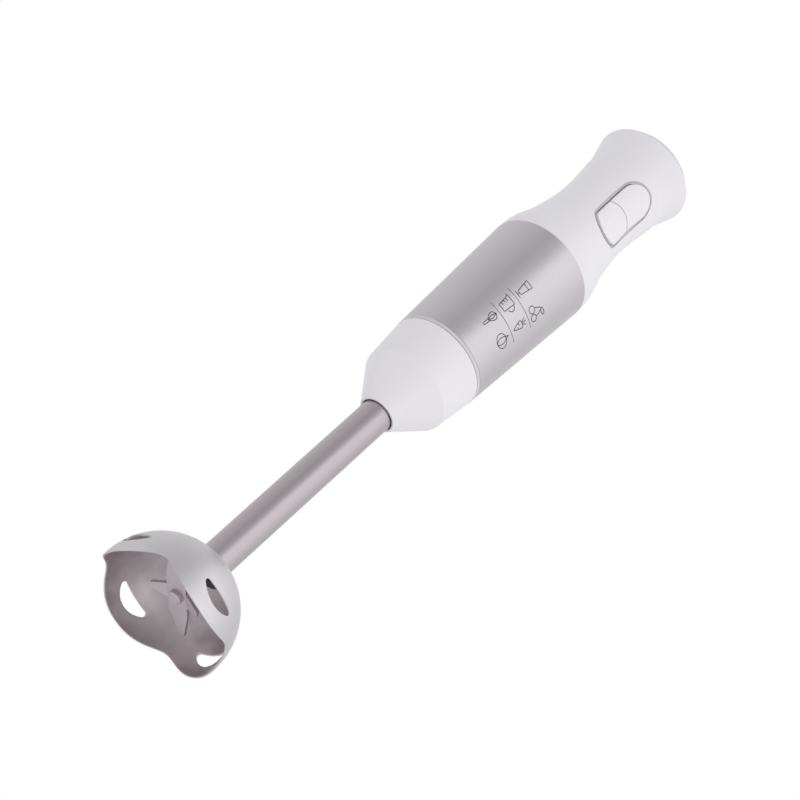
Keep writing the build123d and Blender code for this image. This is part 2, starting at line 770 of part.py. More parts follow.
def motor_screws():
    """Screws that hold the motor on the socket's floor, put in from below."""
    upright = screw(0, socket_floor + can_wall + SEAT)
    return on_circle(Pos(0, 0, floor_bottom) * Rot(180, 0, 0) * upright, 2, motor_screw_circle, 90)


def motor_damper():
    """Rubber ring between the can and the shell."""
    top = damper_bottom + damper_height
    return turned((can_radius + FIT, damper_bottom), (shell_inner(damper_bottom) - FIT, damper_bottom),
                  (shell_inner(top) - FIT, top), (can_radius + FIT, top))


# ---- armature ----
def motor_shaft():
    """Shaft of the motor, down into the cup."""
    return disc(motor_shaft_radius, cup_top - cup_floor - 0.5, motor_shaft_top)


def rotor_core():
    """Slotted stack of laminations."""
    body = tube(rotor_radius, motor_shaft_radius + FIT, rotor_bottom, rotor_top)
    half = rotor_slot_width / 2
    slot = block(rotor_radius - rotor_slot_depth, rotor_radius + 1, -half, half, rotor_bottom, rotor_top)
    for cut in on_circle(slot, rotor_slots):
        body -= cut
    return body


def armature_windings():
    """Coil ends at both faces of the core."""
    rings = []
    for bottom in (rotor_bottom - winding_height, rotor_top + 0.02):
        top = bottom + winding_height - 0.02
        ring = tube(winding_radius, motor_shaft_radius + FIT + 1, bottom, top)
        rings.append(fillet(ring.edges().filter_by(GeomType.CIRCLE), 0.9))
    return rings


def commutator():
    """Copper commutator with its segment slots."""
    body = tube(commutator_radius, motor_shaft_radius + FIT, commutator_bottom, commutator_top)
    slot = block(commutator_radius - 0.7, commutator_radius + 1, -0.25, 0.25,
                 commutator_bottom, commutator_top)
    for cut in on_circle(slot, rotor_slots):
        body -= cut
    return body


def cooling_fan():
    """Fan above the rear bearing."""
    top = fan_bottom + fan_height
    body = disc(motor_shaft_radius + 2.5, fan_bottom, top)
    body += disc(fan_radius, fan_bottom, fan_bottom + 1.0)
    vane = block(motor_shaft_radius + 2, fan_radius, -fan_blade_thickness / 2, fan_blade_thickness / 2,
                 fan_bottom, top)
    for blade in on_circle(vane, fan_blades):
        body += blade
    return body - disc(motor_shaft_radius + FIT, fan_bottom, top)


def drive_cup():
    """Cup on the motor shaft whose two ribs push the driven dog's fins."""
    inner = cup_radius - cup_wall
    body = disc(cup_radius, cup_bottom, cup_top) - disc(inner, cup_bottom, cup_top - cup_floor)
    rib = block(-fin_width / 2, fin_width / 2, dog_hub_radius + FREE, inner + 0.5,
                cup_bottom, cup_top - cup_floor)
    for turn in (0, 180):
        body += Rot(0, 0, turn) * rib
    return body - disc(motor_shaft_radius + FIT, cup_top - cup_floor - 1, cup_top)


# ---- buttons, switches and board ----
def button(side):
    """One button: its face follows the grip, and a lip inside keeps it in."""
    half_panel = split_face(side, button_gap)
    body = front_prism(panel_face(-button_gap) & half_panel, flange_face, collar_face + 20)
    body = body & grip_solid(-button_proud, under_sleeve(shell_bottom), shell_bottom)
    body += front_prism(panel_face(flange_lip) & half_panel, flange_back, flange_face)
    return body + bar_y(stem_radius, 0, switch_middle(side), stem_end, flange_back)


def switch_middle(side):
    """Height of the switch behind a button."""
    split = panel_foot + panel_split
    return (panel_head + split) / 2 if side > 0 else (panel_foot + split) / 2


def micro_switch(side):
    """Switch body with its plunger."""
    middle = switch_middle(side)
    width, depth, height = switch_size
    body = block(-width / 2, width / 2, -board_face - depth, -board_face - 0.02, middle - height / 2,
                 middle + height / 2)
    return body + bar_y(plunger_radius, 0, middle, switch_face - 0.5, plunger_tip)


def circuit_board():
    """Board that carries the switches and the rectifier."""
    board = block(-board_width / 2, board_width / 2, -board_face, -board_back, board_bottom, board_top)
    for x, z in board_posts():
        board -= bar_y(screw_radius + FIT, x, z, board_back - 1, board_face + 1)
    return board


def board_screws():
    """Screws that hold the board on the shell's posts."""
    upright = screw(0, board_thickness + 6)
    return [Pos(x, -board_back, z) * Rot(-90, 0, 0) * upright for x, z in board_posts()]


def behind_board(size, middle):
    """Block-shaped component on the back of the board."""
    width, depth, height = size
    back = -board_back + 0.02
    return block(-width / 2, width / 2, back, back + depth, middle - height / 2, middle + height / 2)


def bridge_rectifier():
    """Rectifier that feeds the motor."""
    return behind_board(rectifier_size, board_bottom + 17)


def filter_capacitor():
    """Interference capacitor."""
    body = behind_board(capacitor_size, board_bottom + 32)
    return fillet(body.edges().filter_by(Axis.Y), 1.0)


def motor_choke():
    """Coil that keeps interference off the mains."""
    plane = Plane(origin=(0, -board_back + choke_radius + 0.1, board_bottom + 41), z_dir=(0, 0, 1))
    return extrude(plane * Circle(choke_radius), choke_length)


PIECES = {
    "blade_guard": blade_guard,
    "shaft_tube": shaft_tube,
    "lower_bush": lower_bush,
    "shaft_seal": shaft_seal,
    "coupling_cone": coupling_cone,
    "bearing_carrier": bearing_carrier,
    "upper_bush": upper_bush,
    "carrier_screws": carrier_screws,
    "drive_shaft": drive_shaft,
    "cutting_blade": cutting_blade,
    "blade_hub": blade_hub,
    "blade_rivet": blade_rivet,
    "thrust_washer": thrust_washer,
    "retaining_clip": retaining_clip,
    "driven_dog": driven_dog,
    "seal_ring": seal_ring,
    "bayonet_socket": bayonet_socket,
    "handle_shell": handle_shell,
    "steel_sleeve": steel_sleeve,
    "top_cap": top_cap,
    "cord_grommet": cord_grommet,
    "motor_can": motor_can,
    "front_bearing": lambda: motor_bearing(front_bearing_bottom),
    "rear_bearing": lambda: motor_bearing(rear_bearing_bottom),
    "motor_magnets": motor_magnets,
    "brush_plate": brush_plate,
    "brushes": brushes,
    "motor_screws": motor_screws,
    "motor_damper": motor_damper,
    "motor_shaft": motor_shaft,
    "rotor_core": rotor_core,
    "armature_windings": armature_windings,
    "commutator": commutator,
    "cooling_fan": cooling_fan,
    "drive_cup": drive_cup,
    "speed_button": lambda: button(-1),
    "turbo_button": lambda: button(1),
    "speed_switch": lambda: micro_switch(-1),
    "turbo_switch": lambda: micro_switch(1),
    "circuit_board": circuit_board,
    "board_screws": board_screws,
    "bridge_rectifier": bridge_rectifier,
    "filter_capacitor": filter_capacitor,
    "motor_choke": motor_choke,
}

os.makedirs("parts", exist_ok=True)
for name, build in PIECES.items():
    made = build()
    solids = made if isinstance(made, list) else made.solids()
    shape = Compound(children=[solid for piece in solids for solid in piece.solids()])
    shape.label = name
    export_step(shape, f"parts/{name}.step")
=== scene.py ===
import logging
from collections.abc import Sequence
from dataclasses import dataclass, field
from enum import Enum
from math import atan2, cos, hypot, pi, radians, sin, sqrt, tan, tau
from typing import Any

import bmesh
import bpy
from mathutils import Matrix, Vector


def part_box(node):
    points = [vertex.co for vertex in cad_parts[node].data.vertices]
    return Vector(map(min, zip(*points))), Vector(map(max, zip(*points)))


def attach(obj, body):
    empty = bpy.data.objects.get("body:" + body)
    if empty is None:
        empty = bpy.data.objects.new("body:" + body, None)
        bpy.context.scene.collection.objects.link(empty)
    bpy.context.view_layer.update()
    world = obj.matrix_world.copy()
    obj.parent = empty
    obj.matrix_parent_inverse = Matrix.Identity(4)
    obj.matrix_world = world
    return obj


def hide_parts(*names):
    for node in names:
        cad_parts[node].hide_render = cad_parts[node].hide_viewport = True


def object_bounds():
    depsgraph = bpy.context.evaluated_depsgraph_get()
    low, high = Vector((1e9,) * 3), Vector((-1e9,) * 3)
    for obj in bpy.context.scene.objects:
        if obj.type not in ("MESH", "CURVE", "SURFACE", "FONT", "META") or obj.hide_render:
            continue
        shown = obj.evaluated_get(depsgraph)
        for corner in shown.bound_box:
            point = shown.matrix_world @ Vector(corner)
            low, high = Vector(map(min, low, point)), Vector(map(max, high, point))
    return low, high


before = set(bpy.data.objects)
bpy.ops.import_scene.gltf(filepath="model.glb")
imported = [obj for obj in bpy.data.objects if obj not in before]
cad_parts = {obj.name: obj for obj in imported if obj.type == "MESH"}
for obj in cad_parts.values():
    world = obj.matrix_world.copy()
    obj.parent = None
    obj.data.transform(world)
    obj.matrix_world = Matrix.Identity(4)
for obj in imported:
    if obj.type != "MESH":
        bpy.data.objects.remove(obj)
CAD_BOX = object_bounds()

LOG = logging.getLogger("immersion_blender")
MM = 0.001
SAME_POINT = 1e-7       # metres within which two points of a new piece are one
SAME_CAD_POINT = 1e-6   # the same for a CAD piece, whose points are rounded more
IN_FRONT = -1.0         # metres along Y, where rays start that are shot at the object's front
Socket = bpy.types.NodeSocket
Tree = bpy.types.ShaderNodeTree
Point = tuple[float, float]
Stroke = list[Point]
Sign = list[tuple[Stroke, bool]]


class Body(Enum):
    """Moving bodies that a new piece can ride on."""

    LEG = "leg"
    DRIVE_LINE = "drive_line"
    MOTOR_UNIT = "motor_unit"


# ---- colours and nodes ----
def linear(colour: str, gain: float = 1.0) -> tuple[float, float, float, float]:
    """Turns an sRGB hex colour into linear values.

    Args:
        colour: The colour as "#rrggbb".
        gain: What the linear values are multiplied by.

    Returns:
        Red, green, blue and an alpha of 1.
    """
    values = []
    for start in (1, 3, 5):
        share = int(colour[start:start + 2], 16) / 255
        value = share / 12.92 if share <= 0.04045 else ((share + 0.055) / 1.055) ** 2.4
        values.append(min(value * gain, 1.0))
    return (values[0], values[1], values[2], 1.0)


def add_node(tree: Tree, kind: str, inputs: dict[Any, Any] | None = None, **settings: Any) -> bpy.types.Node:
    """Adds a node with its settings and links.

    Args:
        tree: The node tree.
        kind: The node's type.
        inputs: A value, or another node's output, for each input by name or number.
        settings: The node's own properties.

    Returns:
        The new node.
    """
    node = tree.nodes.new(kind)
    for name, value in settings.items():
        setattr(node, name, value)
    for name, value in (inputs or {}).items():
        if isinstance(value, Socket):
            tree.links.new(value, node.inputs[name])
        else:
            node.inputs[name].default_value = value
    return node


# ---- finishes ----
@dataclass(frozen=True)
class Finish:
    """A real material and how its surface was made.

    The fine pattern darkens the colour, changes the roughness and stands up as relief; the
    broad one is the unevenness that handling and the making leave over centimetres.
    """

    name: str
    colour: str
    roughness: float
    ior: float = 1.5
    metallic: float = 0.0
    grain_mm: float = 0.6
    relief_mm: float = 0.004
    grain_contrast: float = 0.04
    roughness_swing: float = 0.06
    mottle_mm: float = 22.0
    mottle_contrast: float = 0.02
    noise_roughness: float = 0.55

    def material(self) -> bpy.types.Material:
        """Makes the material at its first use.

        Returns:
            The material.
        """
        made = bpy.data.materials.get(self.name)
        if made is None:
            made = bpy.data.materials.new(self.name)
            made.use_nodes = True
            made.node_tree.nodes.clear()
            made.diffuse_color = linear(self.colour)
            self.build(made.node_tree)
        return made

    def build(self, tree: Tree) -> None:
        """Builds the node tree.

        Args:
            tree: The material's empty tree.
        """
        place = add_node(tree, "ShaderNodeTexCoord").outputs["Object"]
        fine = self.pattern(tree, place)
        broad = self.noise(tree, place, self.mottle_mm, 2.0)
        colour = add_node(tree, "ShaderNodeMix", {
            0: broad, 6: linear(self.colour, 1 - self.mottle_contrast),
            7: linear(self.colour, 1 + self.mottle_contrast)}, data_type="RGBA")
        shaded = add_node(tree, "ShaderNodeMix", {
            0: self.grain_contrast, 6: colour.outputs[2], 7: fine}, data_type="RGBA", blend_type="MULTIPLY")
        rough = add_node(tree, "ShaderNodeMapRange", {
            "Value": fine, "To Min": self.roughness - self.roughness_swing,
            "To Max": self.roughness + self.roughness_swing})
        handled = add_node(tree, "ShaderNodeMath", {
            0: broad, 1: self.roughness_swing, 2: rough.outputs["Result"]}, operation="MULTIPLY_ADD")
        relief = add_node(tree, "ShaderNodeBump", {"Height": fine, "Distance": self.relief_mm * MM})
        shader = add_node(tree, "ShaderNodeBsdfPrincipled", {
            "Base Color": self.tint(tree, place, shaded.outputs[2]), "Roughness": handled.outputs["Value"],
            "Metallic": self.metallic, "IOR": self.ior, "Normal": relief.outputs["Normal"]})
        add_node(tree, "ShaderNodeOutputMaterial", {"Surface": shader.outputs["BSDF"]})
        self.add_gloss(tree, shader)

    def noise(self, tree: Tree, place: Socket, size_mm: float, detail: float) -> Socket:
        """Adds a noise whose lumps have a real size.

        Args:
            tree: The material's tree.
            place: The coordinates.
            size_mm: The size of a lump.
            detail: How many finer layers it has.

        Returns:
            The noise, from 0 to 1.
        """
        node = add_node(tree, "ShaderNodeTexNoise", {
            "Vector": place, "Scale": 1 / (size_mm * MM), "Detail": detail,
            "Roughness": self.noise_roughness})
        return node.outputs["Fac"]

    def pattern(self, tree: Tree, place: Socket) -> Socket:
        """Returns the fine pattern, which is a plain fine grain here."""
        return self.noise(tree, place, self.grain_mm, 3.0)

    def tint(self, tree: Tree, place: Socket, colour: Socket) -> Socket:
        """Returns the colour, which some finishes change from place to place."""
        return colour

    def add_gloss(self, tree: Tree, shader: bpy.types.Node) -> None:
        """Adds what only some finishes have to the shader."""


@dataclass(frozen=True)
class BrushedSteel(Finish):
    """Stainless steel, brushed round the axis with an abrasive belt.

    Its fine parallel lines break the light up into a soft band across them.
    """

    metallic: float = 1.0
    streak_mm: float = 18.0
    streak_roughness: float = 0.6
    mean_radius_mm: float = 25.0
    lines_outwards: float = 0.6
    anisotropy: float = 0.5
    quarter_turn: float = 0.25

    def pattern(self, tree: Tree, place: Socket) -> Socket:
        """Returns streaks that run round the axis.

        They change with the height, and a little less with the radius, so that flat faces
        across the axis have lines too.

        Args:
            tree: The material's tree.
            place: The coordinates.

        Returns:
            The streaks, from 0 to 1.
        """
        across = 1 / (self.grain_mm * MM)
        along = 1 / (self.streak_mm * MM)
        parts = add_node(tree, "ShaderNodeSeparateXYZ", {0: place})
        flat = add_node(tree, "ShaderNodeVectorMath", {0: place, 1: (1, 1, 0)}, operation="MULTIPLY")
        radius = add_node(tree, "ShaderNodeVectorMath", {0: flat.outputs[0]}, operation="LENGTH")
        turned = add_node(tree, "ShaderNodeVectorMath", {0: flat.outputs[0]}, operation="NORMALIZE")
        round_the_axis = add_node(tree, "ShaderNodeVectorMath", {
            0: turned.outputs[0], "Scale": along * self.mean_radius_mm * MM}, operation="SCALE")
        climb = add_node(tree, "ShaderNodeMath", {
            0: radius.outputs["Value"], 1: self.lines_outwards, 2: parts.outputs["Z"]},
            operation="MULTIPLY_ADD")
        level = add_node(tree, "ShaderNodeMath", {0: climb.outputs[0], 1: across}, operation="MULTIPLY")
        upright = add_node(tree, "ShaderNodeCombineXYZ", {"Z": level.outputs[0]})
        wound = add_node(tree, "ShaderNodeVectorMath", {
            0: round_the_axis.outputs[0], 1: upright.outputs[0]}, operation="ADD")
        streaks = add_node(tree, "ShaderNodeTexNoise", {
            "Vector": wound.outputs[0], "Scale": 1.0, "Detail": 3.0, "Roughness": self.streak_roughness})
        return streaks.outputs["Fac"]

    def add_gloss(self, tree: Tree, shader: bpy.types.Node) -> None:
        """Draws the highlight out across the brush lines.

        Args:
            tree: The material's tree.
            shader: Its shader.
        """
        tangent = add_node(tree, "ShaderNodeTangent", direction_type="RADIAL", axis="Z")
        tree.links.new(tangent.outputs[0], shader.inputs["Tangent"])
        shader.inputs["Anisotropic"].default_value = self.anisotropy
        shader.inputs["Anisotropic Rotation"].default_value = self.quarter_turn


@dataclass(frozen=True)
class GuardSteel(BrushedSteel):
    """Brushed steel of the guard, with painted shade: darker and warmer on the inside of the dome, in
    blotches.
    """

    # The inside's colour and its blotches are painted shade in the hollow of the dome.
    inner_shade_colour: str = "#c6bdc0"
    dome_centre_mm: float = 2.9
    skin_middle_mm: float = 32.6
    skin_blend_mm: float = 0.15
    blotch_mm: float = 13.0
    blotch_dark: float = 0.6
    blotch_light: float = 1.3

    def tint(self, tree: Tree, place: Socket, colour: Socket) -> Socket:
        """Returns the colour, with painted shade: darker and warmer on the inside of the dome, in blotches.

        Args:
            tree: The material's tree.
            place: The coordinates.
            colour: The colour of the outside.

        Returns:
            The colour of both sides.
        """
        from_centre = add_node(tree, "ShaderNodeVectorMath", {
            0: place, 1: (0, 0, self.dome_centre_mm * MM)}, operation="DISTANCE")
        inside = add_node(tree, "ShaderNodeMapRange", {
            "Value": from_centre.outputs["Value"],
            "From Min": (self.skin_middle_mm + self.skin_blend_mm) * MM,
            "From Max": (self.skin_middle_mm - self.skin_blend_mm) * MM})
        # Painted shade on the inside of the dome, broken up into blotches.
        blotches = self.noise(tree, place, self.blotch_mm, 4.0)
        inner_shade = add_node(tree, "ShaderNodeMix", {
            0: blotches, 6: linear(self.inner_shade_colour, self.blotch_dark),
            7: linear(self.inner_shade_colour, self.blotch_light)}, data_type="RGBA")
        both = add_node(tree, "ShaderNodeMix", {
            0: inside.outputs["Result"], 6: colour, 7: inner_shade.outputs[2]}, data_type="RGBA")
        return both.outputs[2]


@dataclass(frozen=True)
class PressedPowder(Finish):
    """Metal or ceramic powder that was pressed and fired, with pores between its grains."""

    pore_edge: float = 0.8

    def pattern(self, tree: Tree, place: Socket) -> Socket:
        """Returns rounded grains with pores between them.

        Args:
            tree: The material's tree.
            place: The coordinates.

        Returns:
            The grains, from 0 in a pore to 1.
        """
        cells = add_node(tree, "ShaderNodeTexVoronoi", {
            "Vector": place, "Scale": 1 / (self.grain_mm * MM), "Randomness": 1.0})
        pores = add_node(tree, "ShaderNodeMapRange", {
            "Value": cells.outputs["Distance"], "From Max": self.pore_edge, "To Min": 1.0, "To Max": 0.0})
        return pores.outputs["Result"]


@dataclass(frozen=True)
class Stacked(Finish):
    """What is stacked or wound: thin sheets, or turns of wire, one on another along the axis."""

    unevenness: float = 0.4

    def pattern(self, tree: Tree, place: Socket) -> Socket:
        """Returns one rounded step for each sheet or turn.

        Args:
            tree: The material's tree.
            place: The coordinates.

        Returns:
            The steps, from 0 between two to 1 on top of one.
        """
        waves = add_node(tree, "ShaderNodeTexWave", {
            "Vector": place, "Scale": pi / (10 * self.grain_mm * MM), "Distortion": self.unevenness,
            "Detail": 1.0}, wave_type="BANDS", bands_direction="Z", wave_profile="SIN")
        return waves.outputs["Fac"]


# ABS, injection moulded in a finely spark-eroded mould: an even white with a soft sheen.
WHITE_ABS = Finish("abs_moulded_white", "#e9e7ec", 0.34, ior=1.53, grain_mm=0.5, relief_mm=0.003,
                   grain_contrast=0.015, roughness_swing=0.05, mottle_contrast=0.012)
# The same ABS on the buttons, moulded smoother, so their edges catch the light.
BUTTON_ABS = Finish("abs_moulded_gloss_white", "#ebe9ee", 0.26, ior=1.53, grain_mm=0.4, relief_mm=0.002,
                    grain_contrast=0.01, roughness_swing=0.04, mottle_contrast=0.01)
# The same ABS in a light grey, for the ring below the sleeve and the cap. On the ring it is its own tone and
# sets off the white; on the cap, which is white, the grey is painted shade where the cap rolls away from the
# light.
GREY_RING_AND_CAP_SHADE_ABS = Finish("abs_light_grey_and_painted_cap_shade", "#cfccd2", 0.34, ior=1.53, grain_mm=0.5, relief_mm=0.003,
                  grain_contrast=0.02, roughness_swing=0.05, mottle_contrast=0.015)
# Stainless steel, deep drawn, then satin brushed round: milky highlights, no sharp reflection.
# Its real lines are 0.05 mm apart, which is too fine to show, so they are drawn coarser.
GUARD_STEEL = GuardSteel("stainless_drawn_satin_brushed", "#d6d3d7", 0.40, grain_mm=0.35,
                         relief_mm=0.006, grain_contrast=0.12, roughness_swing=0.07,
                         mottle_mm=14.0, mottle_contrast=0.04, anisotropy=0.35)
# Stainless steel tube, ground between centres: fine rings, and a narrow streak of light along it.
TUBE_STEEL = BrushedSteel("stainless_tube_ground_brushed", "#beb7bb", 0.27, grain_mm=0.3,
                          relief_mm=0.005, grain_contrast=0.10, roughness_swing=0.06,
                          mottle_contrast=0.03, anisotropy=0.4)
# Stainless steel sheet, rolled into a taper and brushed round: broad bands and fine lines.
SLEEVE_STEEL = BrushedSteel("stainless_sheet_brushed", "#cfcad0", 0.34, grain_mm=0.28,
                            relief_mm=0.004, grain_contrast=0.09, roughness_swing=0.05,
                            mottle_contrast=0.02, anisotropy=0.5)
# Stainless knife steel, pressed and barrel polished, with ground edges: dull, with small scratches.
BLADE_STEEL = BrushedSteel("knife_steel_pressed_ground", "#cbc1c6", 0.42, grain_mm=0.3,
                           relief_mm=0.006, grain_contrast=0.14, roughness_swing=0.08,
                           mottle_mm=6.0, mottle_contrast=0.05, streak_mm=5.0, anisotropy=0.2)
# Tool steel bar, centreless ground: bright, with rings too fine to tell apart.
GROUND_STEEL = BrushedSteel("steel_bar_ground", "#c4c4c6", 0.22, grain_mm=0.3, relief_mm=0.003,
                            grain_contrast=0.08, roughness_swing=0.05, streak_mm=12.0, anisotropy=0.3)
# Mild steel, pressed and zinc plated: a cool grey that is slightly cloudy.
ZINC_PLATE = Finish("steel_zinc_plated", "#bfc2c4", 0.34, metallic=1.0, grain_mm=0.4, relief_mm=0.004,
                    grain_contrast=0.10, mottle_mm=4.0, mottle_contrast=0.07)
# Electrical steel, stamped and stacked: dark edges of 0.5 mm sheets.
LAMINATIONS = Stacked("electrical_steel_stacked", "#6a6c70", 0.45, metallic=1.0, grain_mm=0.5,
                      relief_mm=0.06, grain_contrast=0.35, roughness_swing=0.10)
# Bronze, sintered and soaked in oil: open pores and a dull warm sheen.
SINTERED_BRONZE = PressedPowder("bronze_sintered", "#a9854f", 0.42, metallic=1.0, grain_mm=0.3,
                                relief_mm=0.03, grain_contrast=0.4, roughness_swing=0.10)
# Copper wire, enamelled and wound: glossy turns 0.6 mm apart.
WOUND_COPPER = Stacked("copper_wire_enamelled_wound", "#b4643a", 0.28, metallic=1.0, grain_mm=0.6,
                       relief_mm=0.12, grain_contrast=0.3, mottle_contrast=0.06)
# Hard ferrite, pressed, fired and ground: nearly black, with a dry sheen.
FERRITE = PressedPowder("ferrite_fired_ground", "#3a3a3e", 0.5, grain_mm=0.25, relief_mm=0.012,
                        grain_contrast=0.25)
# Carbon, pressed: soft black with a little shine where it rubs.
CARBON = PressedPowder("carbon_pressed", "#26262a", 0.55, grain_mm=0.2, relief_mm=0.012,
                       grain_contrast=0.3)
# Glass-filled polyamide, moulded: a mid grey with short fibres just under its skin.
GREY_POLYAMIDE = Finish("polyamide_glass_filled_grey", "#8b8d91", 0.48, ior=1.53, grain_mm=0.45,
                        relief_mm=0.01, grain_contrast=0.12, mottle_contrast=0.04)
# Polyamide, moulded black: a dark matt skin that shows its edges.
BLACK_POLYAMIDE = Finish("polyamide_moulded_black", "#242428", 0.45, ior=1.53, grain_mm=0.4,
                         relief_mm=0.008, grain_contrast=0.15)
# Acetal, turned: slippery and slightly waxy, off-white where it isn't stained.
ACETAL = Finish("acetal_turned", "#dcdad3", 0.30, ior=1.48, grain_mm=0.5, relief_mm=0.005,
                grain_contrast=0.05)
# Acetal again, moulded dark for the pieces beside the blade: it shows as a shadow behind the knife.
DARK_ACETAL = Finish("acetal_moulded_dark", "#2b2729", 0.34, ior=1.48, grain_mm=0.5, relief_mm=0.006,
                     grain_contrast=0.15)
# Nitrile rubber, moulded: dull, with a fine bloom on it.
RUBBER = Finish("nitrile_rubber_moulded", "#232326", 0.62, ior=1.52, grain_mm=0.35, relief_mm=0.015,
                grain_contrast=0.2, mottle_contrast=0.08)
# Painted shade: a thin grey film with almost no shine, laid in the lowered band round the buttons.
BAND_SHADE_GREY = Finish("painted_band_shade_grey", "#cbc9cf", 0.6, grain_mm=0.4, relief_mm=0.004,
                   grain_contrast=0.06)
# Phenolic paper laminate, sawn and drilled: brown, with a faint paper grain.
LAMINATE = Finish("phenolic_paper_laminate", "#8f6b3e", 0.42, grain_mm=0.8, relief_mm=0.006,
                  grain_contrast=0.2, mottle_contrast=0.06)
# Pad-printed ink on steel: a thin charcoal film, matter than the steel.
INK = Finish("ink_pad_printed", "#39363c", 0.5, grain_mm=0.25, relief_mm=0.002, grain_contrast=0.15)
# Emulsion paint, rolled on a studio floor: an even matt white.
FLOOR_PAINT = Finish("emulsion_rolled_white", "#f4f4f5", 0.8, grain_mm=4.0, relief_mm=0.05,
                     grain_contrast=0.02, mottle_mm=300.0, mottle_contrast=0.01)


# ---- mesh helpers ----
def smooth_shade(mesh: bpy.types.Mesh, sharp_degrees: float = 35.0) -> None:
    """Shades a mesh smooth, apart from its sharper edges."""
    mesh.polygons.foreach_set("use_smooth", [True] * len(mesh.polygons))
    mesh.set_sharp_from_angle(angle=radians(sharp_degrees))


def new_object(name: str, form: bmesh.types.BMesh, finish: Finish, body: Body) -> bpy.types.Object:
    """Makes a piece from a finished bmesh and lets it ride on a body.

    Args:
        name: The piece's name.
        form: Its shape, in metres; it is freed here.
        finish: Its finish.
        body: The body it moves with.

    Returns:
        The new object.
    """
    bmesh.ops.remove_doubles(form, verts=form.verts[:], dist=SAME_POINT)
    bmesh.ops.recalc_face_normals(form, faces=form.faces[:])
    mesh = bpy.data.meshes.new(name)
    form.to_mesh(mesh)
    form.free()
    smooth_shade(mesh)
    mesh.materials.append(finish.material())
    piece = bpy.data.objects.new(name, mesh)
    bpy.context.collection.objects.link(piece)
    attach(piece, body.value)
    return piece


def rounded_outline(corners: Sequence[tuple[float, float, float]], steps: int = 5,
                    longest_cut: float = 0.49) -> list[Point]:
    """Rounds the corners of a closed outline.

    Args:
        corners: Radius, height and rounding of each corner, in millimetres.
        steps: How many points each rounding gets, less one.
        longest_cut: The largest share of a side that a rounding may take.

    Returns:
        The outline's points, as radius and height.
    """
    points = []
    for i, (x, z, fillet) in enumerate(corners):
        here = Vector((x, z))
        before = Vector(corners[i - 1][:2]) - here
        after = Vector(corners[(i + 1) % len(corners)][:2]) - here
        if fillet <= 0:
            points.append((x, z))
            continue
        half = before.angle(after) / 2
        cut = min(fillet / tan(half), before.length * longest_cut, after.length * longest_cut)
        start, end = here + before.normalized() * cut, here + after.normalized() * cut
        for k in range(steps + 1):
            t = k / steps
            bent = start * (1 - t) ** 2 + here * 2 * t * (1 - t) + end * t ** 2
            points.append((bent.x, bent.y))
    return points


def lathe(outline: Sequence[Point], segments: int) -> bmesh.types.BMesh:
    """Turns a closed outline about the axis.

    Args:
        outline: Points as radius and height, in millimetres.
        segments: How many steps the turn has.

    Returns:
        The turned form, in metres.
    """
    form = bmesh.new()
    rings = []
    for radius, height in outline:
        rings.append([form.verts.new((radius * MM * cos(tau * i / segments),
                                      radius * MM * sin(tau * i / segments), height * MM))
                      for i in range(segments)])
    for lower, upper in zip(rings, rings[1:] + rings[:1]):
        for i in range(segments):
            j = (i + 1) % segments
            form.faces.new((lower[i], lower[j], upper[j], upper[i]))
    return form


# ---- sub-assemblies ----
@dataclass
class SubAssembly:
    """Pieces that are fitted together, and how they are dressed."""

    body: Body = Body.LEG

    def dress(self, node: str, finish: Finish) -> bpy.types.Object:
        """Gives a CAD node its finish.

        Args:
            node: The node's name.
            finish: Its finish.

        Returns:
            The node's object.
        """
        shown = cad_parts[node]
        shown.data.materials.clear()
        shown.data.materials.append(finish.material())
        LOG.info("%s: %s", node, finish.name)
        return shown

    def soften(self, shown: bpy.types.Object, width_mm: float, segments: int = 2,
               angle: float = 32.0) -> None:
        """Rounds the edges of a CAD node as its mould, press or grinder leaves them.

        Args:
            shown: The node's object.
            width_mm: How wide the rounding is.
            segments: How many faces it has.
            angle: The smallest turn, in degrees, that counts as an edge.
        """
        weld = shown.modifiers.new("weld", "WELD")
        weld.merge_threshold = SAME_CAD_POINT
        bevel = shown.modifiers.new("edges", "BEVEL")
        bevel.width = width_mm * MM
        bevel.segments = segments
        bevel.limit_method = "ANGLE"
        bevel.angle_limit = radians(angle)
        bevel.use_clamp_overlap = True
        even = shown.modifiers.new("normals", "WEIGHTED_NORMAL")
        even.keep_sharp = True

    def build(self) -> None:
        """Builds and dresses the pieces."""


@dataclass
class BladeGuard(SubAssembly):
    """Bell-shaped guard around the blade, with the bush and seal in its crown."""

    edge_mm: float = 0.18

    def build(self) -> None:
        """Dresses the guard, and the bush and seal inside it."""
        self.soften(self.dress("blade_guard", GUARD_STEEL), self.edge_mm)
        self.soften(self.dress("lower_bush", DARK_ACETAL), self.edge_mm)
        self.dress("shaft_seal", RUBBER)


@dataclass
class BladeSet(SubAssembly):
    """Blade, its hub and rivet, the drive shaft and the dog on its head."""

    body: Body = Body.DRIVE_LINE
    ground_edge_mm: float = 0.55
    edge_mm: float = 0.25

    def build(self) -> None:
        """Dresses the drive line from the blade up to the dog."""
        self.soften(self.dress("cutting_blade", BLADE_STEEL), self.ground_edge_mm, segments=1)
        self.soften(self.dress("blade_hub", DARK_ACETAL), self.edge_mm)
        self.soften(self.dress("blade_rivet", BLADE_STEEL), self.edge_mm)
        self.dress("drive_shaft", GROUND_STEEL)
        self.dress("thrust_washer", ACETAL)
        self.dress("retaining_clip", ZINC_PLATE)
        self.soften(self.dress("driven_dog", GREY_POLYAMIDE), self.edge_mm)


